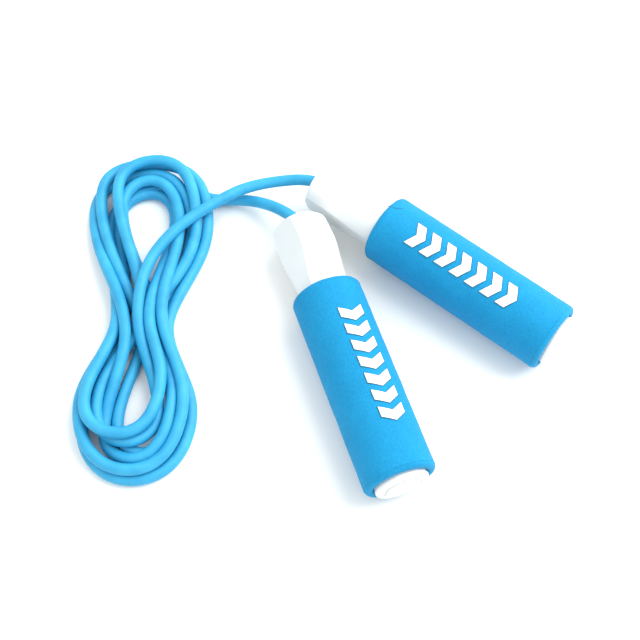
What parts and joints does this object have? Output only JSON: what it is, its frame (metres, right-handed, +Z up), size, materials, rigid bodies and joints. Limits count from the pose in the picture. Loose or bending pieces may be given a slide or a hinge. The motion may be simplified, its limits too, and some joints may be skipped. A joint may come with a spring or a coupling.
{
  "type": "jump rope",
  "caption": "Jump rope with two foam-covered handles that spin on ball bearings, its round rope folded into a loose two-lobed hank beside them.",
  "frame": {"origin": "on the ground, under the middle of the box around the two handles", "axes": "+Z up, +Y along the longer side of the two handles' box, the rope's hank lies towards -X"},
  "size_m": [0.2501, 0.1954, 0.036],
  "materials": {
    "rope": "satin",
    "foam": "matte",
    "white_plastic": "satin",
    "bearing_steel": "polished",
    "cage_brass": "satin",
    "bushing_plastic": "satin",
    "ferrule_metal": "satin"
  },
  "bodies": {
    "rope": {"rope_hank": "rope", "rope_lead_front": "rope", "rope_lead_rear": "rope", "front_bearing_inner_race": "bearing_steel", "front_rope_bushing": "bushing_plastic", "front_thrust_washer": "bearing_steel", "front_rope_ferrule": "ferrule_metal", "front_rope_tail": "rope", "rear_bearing_inner_race": "bearing_steel", "rear_rope_bushing": "bushing_plastic", "rear_thrust_washer": "bearing_steel", "rear_rope_ferrule": "ferrule_metal", "rear_rope_tail": "rope"},
    "front_handle": {"front_handle_core": "white_plastic", "front_foam_grip": "foam", "front_end_cap": "white_plastic", "front_nose_ring": "white_plastic", "front_bearing_outer_race": "bearing_steel", "front_bearing_shields": "bearing_steel"},
    "front_ball_set": {"front_bearing_balls": "bearing_steel", "front_bearing_cage": "cage_brass"},
    "rear_handle": {"rear_handle_core": "white_plastic", "rear_foam_grip": "foam", "rear_end_cap": "white_plastic", "rear_nose_ring": "white_plastic", "rear_bearing_outer_race": "bearing_steel", "rear_bearing_shields": "bearing_steel"},
    "rear_ball_set": {"rear_bearing_balls": "bearing_steel", "rear_bearing_cage": "cage_brass"}
  },
  "joints": [
    {"name": "front_handle_spin", "type": "hinge", "parent": "rope", "child": "front_handle", "pos_m": [-0.0482, 0.0155, 0.018], "axis": [0.3338, -0.9426, 0], "continuous": true},
    {"name": "front_ball_orbit", "type": "hinge", "parent": "rope", "child": "front_ball_set", "pos_m": [-0.06025, 0.04953, 0.018], "axis": [0.3338, -0.9426, 0], "continuous": true},
    {"name": "rear_handle_spin", "type": "hinge", "parent": "rope", "child": "rear_handle", "pos_m": [-0.0181, 0.0543, 0.018], "axis": [0.7902, -0.6129, 0], "continuous": true},
    {"name": "rear_ball_orbit", "type": "hinge", "parent": "rope", "child": "rear_ball_set", "pos_m": [-0.04662, 0.07643, 0.018], "axis": [0.7902, -0.6129, 0], "continuous": true}
  ],
  "couplings": [
    {"joint": "front_ball_orbit", "follows": "front_handle_spin", "ratio": 0.63227},
    {"joint": "rear_ball_orbit", "follows": "rear_handle_spin", "ratio": 0.63227}
  ]
}
